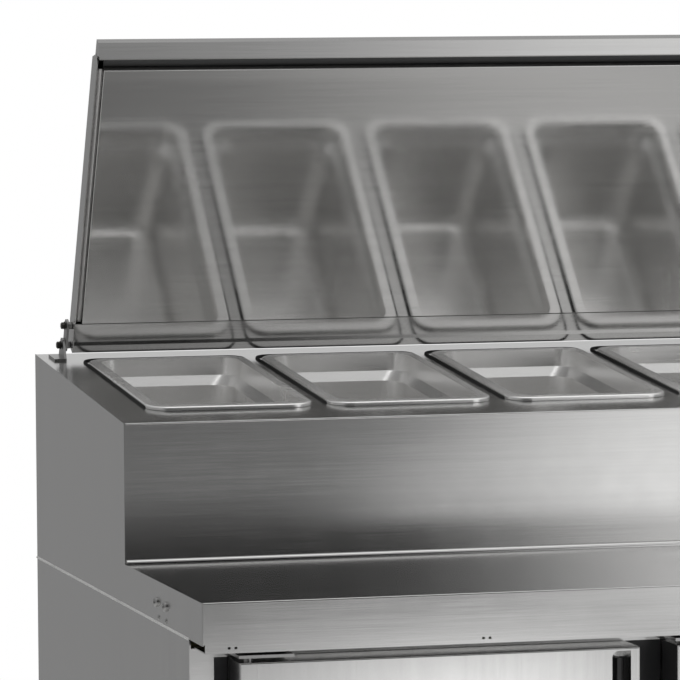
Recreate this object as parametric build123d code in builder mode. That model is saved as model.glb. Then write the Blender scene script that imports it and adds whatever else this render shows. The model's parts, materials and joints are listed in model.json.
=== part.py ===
"""Refrigerated sandwich prep table: three doors, nine lift-out pans and a hinged lid.

Axes: +X to the right along the front, +Y to the back, +Z up. The origin is on the floor,
at the middle of the footprint. Lengths named *_x and *_y below are measured from the left
end and from the worktop's front edge; the functions at_x and at_y turn them into the frame.
"""

import os
from math import cos, radians, sin, tan

from build123d import *

os.makedirs("parts", exist_ok=True)

# ---- Driving dimensions (mm) ----
LENGTH = 1795.0
DEPTH = 800.0
WORKTOP_Z = 897.0
SHEET = 1.5
THIN = 1.2

# worktop and its folded front
NOSING = 40.0
APRON_DROP = 49.0
APRON_SETBACK = 3.0
APRON_END = 3.5
SEAM_Z = WORKTOP_Z - 41.0
CABINET_Y = 55.0
CABINET_Z = 150.0

# raised collar that holds the pans
RISER_Y = 342.0
RISER_HEIGHT = 142.6
SLOPE = 5.0
PLATE_RUN = 458.0

# pans
PAN_COUNT = 9
PAN_WIDTH = 176.0
PAN_LENGTH = 325.0
PAN_DEPTH = 150.0
PAN_PITCH = 192.0
PAN_X = 41.5
PAN_FRONT = 66.0
PAN_SHEET = 0.8
RIM_LIFT = 0.3
RIM_HEIGHT = 4.0
RIM_LEDGE = 11.0
WELL_LEDGE = 7.0

# lid
LID_X = 31.5
LID_OPEN = 65.0
LID_REACH = 362.2
LID_OUTER = 11.0
LID_INNER = 13.5
LID_FACE = 9.5
PIVOT_Y = 763.0
PIVOT_RISE = 15.1
LID_SHEET = 1.0

# cabinet
WALL = 60.0
STORE_X = 1290.0
PARTITION_X = 1341.0
STORE_BACK_Y = 740.0
FRAME_DEPTH = 25.0
STORE_FLOOR_Z = 205.0
STORE_CEILING_Z = 815.8
RAIL_TOP_Z = 847.0
RAIL_LOW_Z = 800.0
SILL_Z = 196.0

# doors
DOOR_COUNT = 3
DOOR_X = 37.5
DOOR_WIDTH = 397.5
DOOR_PITCH = 435.0
DOOR_Y = 5.0
DOOR_THICK = 47.0
DOOR_LOW_Z = 165.0
DOOR_TOP_Z = WORKTOP_Z - 59.0
OPENING = (66.0, 417.0)
DOOR_PIVOT = (12.0, 17.0)
PIN_R = 4.0
RUNNING_FIT = 0.05

LEFT = -LENGTH / 2
FRONT = -DEPTH / 2
COLLAR_Z = WORKTOP_Z + RISER_HEIGHT
WELL = (PAN_X + WELL_LEDGE, LENGTH - PAN_X - WELL_LEDGE)
WELL_RUN = (PAN_FRONT + WELL_LEDGE, PAN_FRONT + PAN_LENGTH - WELL_LEDGE)


def at_x(distance):
    """Frame X of a distance from the left end."""
    return LEFT + distance


def at_y(distance):
    """Frame Y of a distance from the worktop's front edge."""
    return FRONT + distance


def collar_z(distance):
    """Height of the sloping collar surface at a distance from the front edge."""
    return COLLAR_Z + (distance - RISER_Y) * tan(radians(SLOPE))


def mirror_x(distance):
    """The same place counted from the right end."""
    return LENGTH - distance


def block(x, y, z, mode=Mode.ADD):
    """A rectangular block between pairs of distances; z is the height above the floor."""
    with Locations((at_x(sum(x) / 2), at_y(sum(y) / 2), sum(z) / 2)):
        Box(x[1] - x[0], y[1] - y[0], z[1] - z[0], mode=mode)


def box_tube(x, y, z, along):
    """A sheet tube: a block with a hole right through it along one axis."""
    block(x, y, z)
    inset = {"x": (0, 1, 1), "y": (1, 0, 1), "z": (1, 1, 0)}[along]
    spans = [(a + THIN * i, b - THIN * i) for (a, b), i in zip((x, y, z), inset)]
    block(*spans, mode=Mode.SUBTRACT)


def save(builder, name):
    """Label a finished piece and write it as its own STEP file."""
    builder.part.label = name
    export_step(builder.part, f"parts/{name}.step")


# The collar's top surface: local x to the right, local y up the slope, local z off the surface.
collar = Plane(
    origin=(0, at_y(RISER_Y), COLLAR_Z),
    x_dir=(1, 0, 0),
    z_dir=(0, -sin(radians(SLOPE)), cos(radians(SLOPE))),
)
PIVOT_Z = collar_z(PIVOT_Y) + PIVOT_RISE
# The open lid: local y from the hinge to the lid's front edge, local z out of its underside.
lid_plane = Plane(
    origin=(0, at_y(PIVOT_Y), PIVOT_Z),
    x_dir=(1, 0, 0),
    z_dir=(0, -sin(radians(LID_OPEN)), -cos(radians(LID_OPEN))),
)


GLAND = (1500.0, 740.0)

# ---- Cabinet skins ----
with BuildPart() as side_panels:
    for x in ((0, SHEET), (LENGTH - SHEET, LENGTH)):
        block(x, (CABINET_Y, DEPTH), (CABINET_Z, SEAM_Z - 0.1))
save(side_panels, "side_panels")

with BuildPart() as back_panel:
    block((SHEET, LENGTH - SHEET), (DEPTH - SHEET, DEPTH), (CABINET_Z, SEAM_Z - 0.1))
    # air slots of the machine bay
    with Locations(Location((at_x(1568), at_y(DEPTH), 420), (90, 0, 0))):
        with GridLocations(0, 24, 1, 12):
            Box(300, 10, 10, mode=Mode.SUBTRACT)
save(back_panel, "back_panel")

with BuildPart() as base_panel:
    block((SHEET, LENGTH - SHEET), (CABINET_Y, DEPTH - SHEET), (CABINET_Z, CABINET_Z + SHEET))
    block(
        (PARTITION_X - SHEET, PARTITION_X),
        (CABINET_Y + FRAME_DEPTH, DEPTH - SHEET),
        (CABINET_Z + SHEET, RAIL_LOW_Z),
    )
    with Locations((at_x(GLAND[0]), at_y(GLAND[1]), CABINET_Z)):
        Cylinder(10, 10, mode=Mode.SUBTRACT)
save(base_panel, "base_panel")

# ---- Foamed walls and the liner inside them ----
LINER = ((WALL - THIN, STORE_X + THIN), (CABINET_Y + FRAME_DEPTH, STORE_BACK_Y + THIN))
LINER_Z = (STORE_FLOOR_Z - THIN, STORE_CEILING_Z + THIN)
CHIMNEY_Y = (430.0, STORE_BACK_Y)

with BuildPart() as inner_liner:
    block(*LINER, LINER_Z)
    block(
        (WALL, STORE_X),
        (CABINET_Y, STORE_BACK_Y),
        (STORE_FLOOR_Z, STORE_CEILING_Z),
        mode=Mode.SUBTRACT,
    )
    block((WALL, STORE_X), CHIMNEY_Y, (STORE_CEILING_Z - 5, STORE_CEILING_Z + 5), mode=Mode.SUBTRACT)
save(inner_liner, "inner_liner")

with BuildPart() as insulation:
    block(
        (SHEET, PARTITION_X - SHEET),
        (CABINET_Y + FRAME_DEPTH, DEPTH - SHEET),
        (CABINET_Z + SHEET, SEAM_Z - 1),
    )
    block(*LINER, LINER_Z, mode=Mode.SUBTRACT)
    block((WALL - THIN, STORE_X + THIN), CHIMNEY_Y, (STORE_CEILING_Z, SEAM_Z + 5), mode=Mode.SUBTRACT)
    # foam between the riser and the pan well, and between the well and the back
    with BuildSketch(Plane.YZ.offset(LEFT + 3)):
        for near, far in ((RISER_Y + 3, RISER_Y + PAN_FRONT + 2.7), (757.0, DEPTH - 3)):
            with BuildLine():
                Polyline(
                    (at_y(near), SEAM_Z),
                    (at_y(far), SEAM_Z),
                    (at_y(far), collar_z(far) - 3),
                    (at_y(near), collar_z(near) - 3),
                    close=True,
                )
            make_face()
    extrude(amount=LENGTH - 6)
    # room for the worktop's rear flange at the foot of the riser
    block((0, LENGTH), (RISER_Y, RISER_Y + 20), (SEAM_Z - 1, WORKTOP_Z + 1), mode=Mode.SUBTRACT)
save(insulation, "insulation")

# ---- Front frame: rails and posts of folded sheet ----
FRAME = (CABINET_Y, CABINET_Y + FRAME_DEPTH)
with BuildPart() as front_rails:
    box_tube((SHEET, LENGTH - SHEET), FRAME, (RAIL_LOW_Z, RAIL_TOP_Z), "x")
    box_tube((SHEET, LENGTH - SHEET), FRAME, (CABINET_Z + SHEET, SILL_Z), "x")
save(front_rails, "front_rails")

with BuildPart() as front_posts:
    box_tube((SHEET, OPENING[0]), FRAME, (SILL_Z, RAIL_LOW_Z), "z")
    for door in range(1, DOOR_COUNT):
        edges = (OPENING[1] + DOOR_PITCH * (door - 1), OPENING[0] + DOOR_PITCH * door)
        box_tube(edges, FRAME, (SILL_Z, RAIL_LOW_Z), "z")
    last = OPENING[1] + DOOR_PITCH * (DOOR_COUNT - 1)
    box_tube((last, PARTITION_X), FRAME, (SILL_Z, RAIL_LOW_Z), "z")
    box_tube((mirror_x(22), mirror_x(SHEET)), FRAME, (SILL_Z, RAIL_LOW_Z), "z")
save(front_posts, "front_posts")

# ---- Worktop: deck, nosing and the stepped apron folded under it ----
with BuildPart() as worktop:
    ends = (SHEET, LENGTH - SHEET)
    block(ends, (0, RISER_Y), (WORKTOP_Z - SHEET, WORKTOP_Z))
    block(ends, (0, SHEET), (WORKTOP_Z - NOSING, WORKTOP_Z))
    block(ends, (0, APRON_SETBACK + THIN), (WORKTOP_Z - NOSING, WORKTOP_Z - NOSING + THIN))
    apron = (APRON_END, LENGTH - APRON_END)
    apron_z = (WORKTOP_Z - APRON_DROP, WORKTOP_Z - NOSING)
    block(apron, (APRON_SETBACK, APRON_SETBACK + THIN), apron_z)
    block(apron, (APRON_SETBACK, CABINET_Y), (apron_z[0], apron_z[0] + THIN))
    # stiffening flange at the back, down behind the deck
    block(ends, (RISER_Y - SHEET, RISER_Y), (SEAM_Z, WORKTOP_Z))
    # paired tab slots along the apron
    with Locations(*[(at_x(x), at_y(APRON_SETBACK), WORKTOP_Z - 44.0) for x in range(30, 1780, 250)]):
        with GridLocations(6.5, 0, 2, 1):
            Box(2.6, 8, 2.2, mode=Mode.SUBTRACT)
    fillet(
        worktop.edges()
        .filter_by(Axis.X)
        .filter_by(lambda e: abs(e.center().Z - WORKTOP_Z) < 0.01 and abs(e.center().Y - FRONT) < 0.01),
        radius=1.3,
    )
save(worktop, "worktop")

# ---- Collar: side panels, riser, sloping top plate and back ----
with BuildPart() as top_side_panels:
    for start in (LEFT, -LEFT - SHEET):
        with BuildSketch(Plane.YZ.offset(start)):
            with BuildLine():
                Polyline(
                    (at_y(0), SEAM_Z),
                    (at_y(0), WORKTOP_Z),
                    (at_y(RISER_Y), WORKTOP_Z),
                    (at_y(RISER_Y), COLLAR_Z),
                    (at_y(DEPTH), collar_z(DEPTH)),
                    (at_y(DEPTH), SEAM_Z),
                    close=True,
                )
            make_face()
        extrude(amount=SHEET)
    fillet(
        top_side_panels.edges()
        .filter_by(Axis.Z)
        .filter_by(lambda e: abs(e.center().Y - FRONT) < 0.01 and abs(abs(e.center().X) + LEFT) < 0.01),
        radius=1.2,
    )
save(top_side_panels, "top_side_panels")

COVE = 5.0
with BuildPart() as riser:
    block((SHEET, LENGTH - SHEET), (RISER_Y, RISER_Y + SHEET), (SEAM_Z, COLLAR_Z - SHEET - 0.05))
    # polished cove where the riser meets the deck
    with BuildSketch(Plane.YZ.offset(LEFT + SHEET)):
        with BuildLine():
            corner = (at_y(RISER_Y), WORKTOP_Z + 0.02)
            foot = (at_y(RISER_Y - COVE), WORKTOP_Z + 0.02)
            head = (at_y(RISER_Y), WORKTOP_Z + COVE)
            Line(foot, corner)
            Line(corner, head)
            RadiusArc(head, foot, -COVE)
        make_face()
    extrude(amount=LENGTH - 2 * SHEET)
save(riser, "riser")

with BuildPart() as collar_top:
    with BuildSketch(collar):
        with Locations((0, PLATE_RUN / 2)):
            Rectangle(LENGTH - 2 * SHEET - 0.1, PLATE_RUN)
        with Locations((0, sum(WELL_RUN) / 2)):
            RectangleRounded(WELL[1] - WELL[0], WELL_RUN[1] - WELL_RUN[0], 4, mode=Mode.SUBTRACT)
    extrude(amount=-SHEET)
    front_edge = collar_top.edges().filter_by(Axis.X).sort_by(Axis.Y)[0:2].sort_by(Axis.Z)[-1]
    fillet(front_edge, radius=1.2)
save(collar_top, "collar_top")

with BuildPart() as collar_back:
    block((SHEET, LENGTH - SHEET), (DEPTH - SHEET, DEPTH), (SEAM_Z, collar_z(DEPTH) - SHEET))
save(collar_back, "collar_back")

WELL_DEPTH = 168.0
BAY_FLOOR_X = 1300.0
with BuildPart() as pan_well_liner:
    size = (WELL[1] - WELL[0], WELL_RUN[1] - WELL_RUN[0])
    with BuildSketch(collar.offset(-WELL_DEPTH)):
        with Locations((0, sum(WELL_RUN) / 2)):
            RectangleRounded(size[0] + 2 * THIN, size[1] + 2 * THIN, 4 + THIN)
            RectangleRounded(*size, 4, mode=Mode.SUBTRACT)
    extrude(amount=WELL_DEPTH - SHEET - 0.02)
    # closed floor above the machine bay, where no cold air rises
    with BuildSketch(collar.offset(-WELL_DEPTH)):
        with Locations(((at_x(BAY_FLOOR_X) + at_x(WELL[1])) / 2, sum(WELL_RUN) / 2)):
            Rectangle(WELL[1] - BAY_FLOOR_X, size[1])
    extrude(amount=THIN)
save(pan_well_liner, "pan_well_liner")

BAR_WIDTH = 28.0
BAR_DROP = 18.0
with BuildPart() as divider_bars:
    for gap in range(PAN_COUNT - 1):
        bar_x = at_x(PAN_X + PAN_PITCH * gap + (PAN_WIDTH + PAN_PITCH) / 2)
        for offset_x, width, drop in (
            (0, BAR_WIDTH, THIN),
            ((THIN - BAR_WIDTH) / 2, THIN, BAR_DROP),
            ((BAR_WIDTH - THIN) / 2, THIN, BAR_DROP),
        ):
            with BuildSketch(collar):
                with Locations((bar_x + offset_x, sum(WELL_RUN) / 2)):
                    Rectangle(width, WELL_RUN[1] - WELL_RUN[0] - 0.1)
            extrude(amount=-drop)
save(divider_bars, "divider_bars")


# ---- Pans ----
def pan_hollow(plane, inset, top, floor):
    """The tapered body of a pan, with a sloping stacking shoulder and a rounded floor."""
    width = PAN_WIDTH - 2 * RIM_LEDGE - 2 * inset
    length = PAN_LENGTH - 2 * RIM_LEDGE - 2 * inset
    drop = inset * 0.4
    sections = ((top, 0, 20), (drop - 15, 2, 21), (drop - 25, 15, 24), (floor, 26, 28))
    with BuildPart() as body:
        for upper, lower in zip(sections, sections[1:]):
            for height, taper, corner in (upper, lower):
                with BuildSketch(plane.offset(height)):
                    RectangleRounded(width - taper, length - taper, corner - inset)
            loft()
        fillet(body.faces().sort_by(Axis(plane.origin, plane.z_dir))[0].edges(), radius=15 - inset)
    return body.part


def make_pan(index):
    """One lift-out pan at its place in the collar."""
    centre = (at_x(PAN_X + PAN_WIDTH / 2 + PAN_PITCH * index), PAN_FRONT + PAN_LENGTH / 2)
    plane = Plane(
        origin=collar.from_local_coords((*centre, 0)),
        x_dir=collar.x_dir,
        z_dir=collar.z_dir,
    )
    rim_top = RIM_LIFT + RIM_HEIGHT
    outer = pan_hollow(plane, 0, rim_top - PAN_SHEET, -PAN_DEPTH)
    inner = pan_hollow(plane, PAN_SHEET, rim_top + 1, -PAN_DEPTH + PAN_SHEET)
    with BuildPart() as pan:
        with BuildSketch(plane.offset(rim_top)):
            RectangleRounded(PAN_WIDTH, PAN_LENGTH, 24)
        extrude(amount=-RIM_HEIGHT)
        fillet(pan.faces().sort_by(Axis(plane.origin, plane.z_dir))[-1].edges(), radius=2.2)
        with BuildSketch(plane.offset(RIM_LIFT)):
            RectangleRounded(PAN_WIDTH - 3, PAN_LENGTH - 3, 22.5)
        extrude(amount=RIM_HEIGHT - 1.0, mode=Mode.SUBTRACT)
        add(outer)
        add(inner, mode=Mode.SUBTRACT)
    return pan


for index in range(PAN_COUNT):
    save(make_pan(index), f"pan_{index + 1}")

# ---- Lid ----
LID_SPAN = LENGTH - 2 * LID_X
NOTCH = 20.0
GROOVE = (335.3, 348.7)
LINER_GAP = 8.0
LINER_REAR = 30.0
LINER_DEPTH = 12.0
REAR_EDGE = -2.7


def lid_slab(x_half, y, z, mode=Mode.ADD):
    """A block across the lid: half its length, then its place along and through the lid."""
    place = lid_plane.location * Location((0, sum(y) / 2, sum(z) / 2))
    with Locations(place):
        Box(2 * x_half, y[1] - y[0], z[1] - z[0], mode=mode)


with BuildPart() as lid_outer_shell:
    half = LID_SPAN / 2
    top = (-LID_OUTER, -LID_OUTER + LID_SHEET)
    # front profile: a short upright face, then a bevel down to the finger groove
    outline = [
        (LID_REACH, -LID_OUTER),
        (LID_REACH, -2),
        (GROOVE[1], LID_FACE),
        (GROOVE[1] - THIN, LID_FACE),
        (GROOVE[1] - THIN, -LID_OUTER),
    ]
    points = [lid_plane.from_local_coords((0, y, z)) for y, z in outline]
    for inset, mode in ((0, Mode.ADD), (LID_SHEET, Mode.SUBTRACT)):
        with BuildSketch(Plane.YZ.offset(-half + 3 + inset)) as profile:
            with BuildLine():
                Polyline(*[(p.Y, p.Z) for p in points], close=True)
            make_face()
            if inset:
                offset(amount=-inset, kind=Kind.INTERSECTION)
        extrude(amount=LID_SPAN - 6 - 2 * inset, mode=mode)
    lid_slab(half, (REAR_EDGE, LID_REACH - NOTCH), top)
    lid_slab(half - 3, (LID_REACH - NOTCH - 1, LID_REACH - 2), top)
    # side flanges with a bevelled front end, rear flange and its wide return
    for side in (-1, 1):
        with BuildSketch(Plane.YZ.offset(side * half - (LID_SHEET if side > 0 else 0))):
            with BuildLine():
                outline = [
                    (REAR_EDGE, -LID_OUTER),
                    (REAR_EDGE, LID_INNER),
                    (LID_REACH - NOTCH, LID_INNER),
                    (LID_REACH - NOTCH + 8, LID_INNER - 8),
                    (LID_REACH - NOTCH + 8, -LID_OUTER + 12),
                    (LID_REACH - NOTCH, -LID_OUTER),
                ]
                points = [lid_plane.from_local_coords((0, y, z)) for y, z in outline]
                Polyline(*[(p.Y, p.Z) for p in points], close=True)
            make_face()
        extrude(amount=LID_SHEET)
    lid_slab(half, (REAR_EDGE, REAR_EDGE + LID_SHEET), (-LID_OUTER, LID_INNER))
    lid_slab(half, (REAR_EDGE, 6.0), (LID_INNER - LID_SHEET, LID_INNER))
    lid_slab(half, (5.0, 6.0), (LID_FACE - LID_SHEET, LID_INNER))
    lid_slab(half, (5.0, LINER_REAR), (LID_FACE - LID_SHEET, LID_FACE))
save(lid_outer_shell, "lid_outer_shell")

LINER_HALF = LID_SPAN / 2 - LID_SHEET - LINER_GAP
with BuildPart() as lid_inner_liner:
    lid_slab(LINER_HALF, (LINER_REAR + 0.3, GROOVE[0]), (LID_FACE - LINER_DEPTH, LID_FACE))
    lid_slab(
        LINER_HALF - LID_SHEET,
        (LINER_REAR + 0.3 + LID_SHEET, GROOVE[0] - LID_SHEET),
        (LID_FACE - LINER_DEPTH - 1, LID_FACE - LID_SHEET),
        mode=Mode.SUBTRACT,
    )
    inner_face = lid_inner_liner.faces().sort_by(Axis(lid_plane.origin, lid_plane.z_dir))[-1]
    fillet(inner_face.outer_wire().edges(), radius=0.9)
save(lid_inner_liner, "lid_inner_liner")

# dark sealing profile in the channel around the liner
with BuildPart() as lid_gasket:
    depth = (LID_FACE - LINER_DEPTH + 1, LID_FACE - LINER_DEPTH + 5)
    lid_slab(LINER_HALF + LINER_GAP - 1, (LINER_REAR + 1, GROOVE[1] - THIN - 0.3), depth)
    lid_slab(
        LINER_HALF + 0.3,
        (LINER_REAR, GROOVE[0] + 0.3),
        (depth[0] - 1, depth[1] + 1),
        mode=Mode.SUBTRACT,
    )
save(lid_gasket, "lid_gasket")

# ---- Lid hinges: a fixed bracket, an arm on the lid and two bolts at each end ----
BRACKET_X = (22.0, 24.5)
ARM_X = (25.0, 27.5)
BOLT_R = 3.0
ARM_BOLT = 24.0


def both_ends(x):
    """A pair of distances at the left end, and its mirror image at the right end."""
    return ((x[0], x[1]), (LENGTH - x[1], LENGTH - x[0]))


with BuildPart() as hinge_brackets:
    for x in both_ends(BRACKET_X):
        # the ear stands on a foot that follows the collar's slope
        with BuildSketch(Plane.YZ.offset(at_x(x[0]))):
            with BuildLine():
                low = (PIVOT_Y - 17, PIVOT_Y + 17)
                Polyline(
                    (at_y(low[0]), collar_z(low[0]) + 0.05),
                    (at_y(low[1]), collar_z(low[1]) + 0.05),
                    (at_y(PIVOT_Y + 8), PIVOT_Z + 3),
                    (at_y(PIVOT_Y - 8), PIVOT_Z + 3),
                    close=True,
                )
            make_face()
            with Locations((at_y(PIVOT_Y), PIVOT_Z)):
                Circle(8)
                Circle(BOLT_R + RUNNING_FIT, mode=Mode.SUBTRACT)
        extrude(amount=x[1] - x[0])
    for x in both_ends((11.0, 24.0)):
        with BuildSketch(collar.offset(0.05)):
            with Locations((at_x(sum(x) / 2), (PIVOT_Y - RISER_Y) / cos(radians(SLOPE)))):
                Rectangle(x[1] - x[0], 34)
        extrude(amount=2.5)
save(hinge_brackets, "hinge_brackets")

with BuildPart() as lid_arms:
    for x in both_ends(ARM_X):
        with BuildSketch(Plane.YZ.offset(at_x(x[0]))):
            for reach in (0, ARM_BOLT):
                centre = lid_plane.from_local_coords((0, reach, 0))
                with Locations((centre.Y, centre.Z)):
                    Circle(7)
            middle = lid_plane.from_local_coords((0, ARM_BOLT / 2, 0))
            with Locations(Location((middle.Y, middle.Z), 90 + (90 - LID_OPEN))):
                Rectangle(ARM_BOLT, 14)
        extrude(amount=x[1] - x[0])
    for reach in (0, ARM_BOLT):
        centre = lid_plane.from_local_coords((0, reach, 0))
        with Locations(Location((0, centre.Y, centre.Z), (0, 90, 0))):
            Cylinder(BOLT_R + 0.02, LENGTH, mode=Mode.SUBTRACT)
save(lid_arms, "lid_arms")

with BuildPart() as lid_hinge_bolts:
    for reach, head_x in ((0, 16.5), (ARM_BOLT, 19.5)):
        centre = lid_plane.from_local_coords((0, reach, 0))
        pieces = (
            ((head_x, LID_X - 0.1), BOLT_R),
            ((head_x, head_x + 4.5), 4.5),
            ((ARM_X[1] + 0.1, LID_X - 0.1), 4.2),
        )
        for x, radius in pieces:
            for ends in both_ends(x):
                with Locations(Location((at_x(sum(ends) / 2), centre.Y, centre.Z), (0, 90, 0))):
                    Cylinder(radius, ends[1] - ends[0])
save(lid_hinge_bolts, "lid_hinge_bolts")

# ---- Doors ----
GRIP = (369.0, 388.0)
GRIP_DEPTH = 26.0
GASKET_WIDTH = 12.0


def make_door(door):
    """The pieces of one door: skin, inner panel, gasket and grip insert."""
    left = DOOR_X + DOOR_PITCH * door
    right = left + DOOR_WIDTH
    rear = DOOR_Y + DOOR_THICK
    grip = (left + GRIP[0], left + GRIP[1])
    pivot = (at_x(left + DOOR_PIVOT[0]), at_y(DOOR_Y + DOOR_PIVOT[1]))
    with BuildPart() as skin:
        block((left, right), (DOOR_Y, rear), (DOOR_LOW_Z, DOOR_TOP_Z))
        fillet(skin.faces().sort_by(Axis.Y)[0].edges(), radius=1.5)
        block(
            (left + THIN, right - THIN),
            (DOOR_Y + THIN, rear + 1),
            (DOOR_LOW_Z + THIN, DOOR_TOP_Z - THIN),
            mode=Mode.SUBTRACT,
        )
        # grip channel folded into the free edge
        block(
            (grip[0] - THIN, grip[1] + THIN),
            (DOOR_Y + THIN / 2, DOOR_Y + GRIP_DEPTH + THIN),
            (DOOR_LOW_Z + THIN / 2, DOOR_TOP_Z - THIN / 2),
        )
        with BuildSketch(Plane.XZ.offset(-at_y(DOOR_Y - 1))) as channel:
            with Locations((at_x(sum(grip) / 2), (DOOR_LOW_Z + DOOR_TOP_Z) / 2)):
                Rectangle(grip[1] - grip[0], DOOR_TOP_Z - DOOR_LOW_Z - 2 * 3.0)
            fillet(channel.vertices().group_by(Axis.X)[0], radius=7)
        extrude(amount=-(GRIP_DEPTH + 1), mode=Mode.SUBTRACT)
        # sockets for the hinge pins
        for z in ((DOOR_LOW_Z + THIN / 2, DOOR_LOW_Z + 20), (DOOR_TOP_Z - 20, DOOR_TOP_Z - THIN / 2)):
            block((left + 2, left + 24), (DOOR_Y + 2, DOOR_Y + 32), z)
        for z in (DOOR_LOW_Z, DOOR_TOP_Z):
            with Locations((*pivot, z)):
                Cylinder(PIN_R + RUNNING_FIT, 38, mode=Mode.SUBTRACT)
    save(skin, f"door_{door + 1}_skin")

    with BuildPart() as inner:
        block(
            (left + THIN + 0.2, right - THIN - 0.2),
            (rear - 8, rear),
            (DOOR_LOW_Z + THIN + 0.2, DOOR_TOP_Z - THIN - 0.2),
        )
        block(
            (left + 40, right - 36),
            (rear - 5, rear + 1),
            (DOOR_LOW_Z + 30, DOOR_TOP_Z - 30),
            mode=Mode.SUBTRACT,
        )
        fillet(inner.edges().filter_by(Axis.Y).group_by(SortBy.LENGTH)[0], radius=8)
    save(inner, f"door_{door + 1}_inner_panel")

    with BuildPart() as gasket:
        outer = ((left + 14.5, right - 4), (DOOR_LOW_Z + 6, DOOR_TOP_Z - 6))
        block(outer[0], (rear, rear + 2.2), outer[1])
        block(
            (outer[0][0] + GASKET_WIDTH, outer[0][1] - GASKET_WIDTH),
            (rear - 1, rear + 3),
            (outer[1][0] + GASKET_WIDTH, outer[1][1] - GASKET_WIDTH),
            mode=Mode.SUBTRACT,
        )
    save(gasket, f"door_{door + 1}_gasket")

    with BuildPart() as insert:
        span = (DOOR_LOW_Z + 12, DOOR_TOP_Z - 12)
        back = DOOR_Y + GRIP_DEPTH
        block((grip[0] + 0.2, grip[1] - 0.2), (back - 2, back - 0.05), span)
        block((grip[0] + 9, grip[0] + 13), (back - 14, back - 1), span)
    save(insert, f"door_{door + 1}_grip")


for door in range(DOOR_COUNT):
    make_door(door)

with BuildPart() as door_hinge_plates:
    for door in range(DOOR_COUNT):
        left = DOOR_X + DOOR_PITCH * door
        for plate, pin in (
            ((DOOR_TOP_Z + 3, DOOR_TOP_Z + 6), (DOOR_TOP_Z - 18, DOOR_TOP_Z + 5)),
            ((DOOR_LOW_Z - 6, DOOR_LOW_Z - 3), (DOOR_LOW_Z - 5, DOOR_LOW_Z + 18)),
        ):
            block((left + 1, left + 55), (DOOR_Y + 8, CABINET_Y - 0.05), plate)
            with Locations(
                (at_x(left + DOOR_PIVOT[0]), at_y(DOOR_Y + DOOR_PIVOT[1]), sum(pin) / 2)
            ):
                Cylinder(PIN_R, pin[1] - pin[0])
save(door_hinge_plates, "door_hinge_plates")

# ---- Screws in the flanks of the worktop ----
with BuildPart() as side_screws:
    for side in (-1, 1):
        for y, drop, radius in ((154, 21, 5), (194, 21, 5), (154, 35, 2.5), (187, 35, 2.5)):
            place = (side * (-LEFT + 0.75), at_y(y), WORKTOP_Z - drop)
            with Locations(Location(place, (0, 90 * side, 0))):
                Cylinder(radius, 1.5)
save(side_screws, "side_screws")

# ---- Shelves and their supports ----
SHELF_SIZE = (370.0, 530.0)
SHELF_Z = 480.0
SHELF_CENTRES = (257.0, 671.5, 1089.5)
WIRE_R = 2.0
RIM_WIRE_R = 4.0

with BuildPart() as wire_shelves:
    for centre in SHELF_CENTRES:
        middle = (at_x(centre), at_y(410), SHELF_Z)
        for dx in (-1, 1):
            place = (middle[0] + dx * (SHELF_SIZE[0] / 2 - RIM_WIRE_R), middle[1], middle[2])
            with Locations(Location(place, (90, 0, 0))):
                Cylinder(RIM_WIRE_R, SHELF_SIZE[1])
        for dy in (-1, 0, 1):
            place = (middle[0], middle[1] + dy * (SHELF_SIZE[1] / 2 - RIM_WIRE_R), middle[2])
            with Locations(Location(place, (0, 90, 0))):
                Cylinder(RIM_WIRE_R, SHELF_SIZE[0] - 2 * RIM_WIRE_R)
        with Locations(Location(middle)):
            with GridLocations(26, 0, 13, 1):
                with Locations(Location((0, 0, 1.5), (90, 0, 0))):
                    Cylinder(WIRE_R, SHELF_SIZE[1] - RIM_WIRE_R)
save(wire_shelves, "wire_shelves")

with BuildPart() as shelf_supports:
    for centre in SHELF_CENTRES:
        for side in (-1, 1):
            near = centre + side * (SHELF_SIZE[0] / 2 - 8)
            far = centre + side * (SHELF_SIZE[0] / 2 + 4)
            ledge = tuple(sorted((near, far)))
            upright = tuple(sorted((far, far + side * 1.5)))
            post = tuple(sorted((far, far + side * 8)))
            block(ledge, (84, 736), (SHELF_Z - 6, SHELF_Z - 4.5))
            block(upright, (84, 736), (SHELF_Z - 6, SHELF_Z + 10))
            for y in ((82, 92), (728, 739.5)):
                block(post, y, (STORE_FLOOR_Z + 0.5, SHELF_Z + 60))
save(shelf_supports, "shelf_supports")

# ---- Feet ----
FOOT_X = (90.0, 1250.0, mirror_x(90.0))
FOOT_Y = (120.0, DEPTH - 80.0)
with BuildPart() as feet:
    with Locations(*[(at_x(x), at_y(y), 0) for x in FOOT_X for y in FOOT_Y]):
        low = (Align.CENTER, Align.CENTER, Align.MIN)
        Cylinder(22, 12, align=low)
        Cylinder(8, 60, align=low)
        with Locations((0, 0, 38)):
            Cylinder(25, CABINET_Z - 38 - 4, align=low)
        with Locations((0, 0, CABINET_Z - 4)):
            Cylinder(42, 4, align=low)
save(feet, "feet")

# ---- Refrigeration ----
with BuildPart() as compressor:
    spot = (at_x(1480), at_y(610), CABINET_Z + SHEET)
    low = (Align.CENTER, Align.CENTER, Align.MIN)
    with Locations(spot):
        Box(200, 150, 3, align=low)
        with GridLocations(160, 110, 2, 2):
            Cylinder(10, 18, align=low)
        with Locations((0, 0, 14)):
            Box(180, 130, 4, align=low)
            Cylinder(72, 112, align=low)
        with Locations((0, 0, 126)):
            Sphere(72, arc_size1=0)
        with Locations((78, 0, 80)):
            Box(30, 60, 60)
save(compressor, "compressor")

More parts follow.
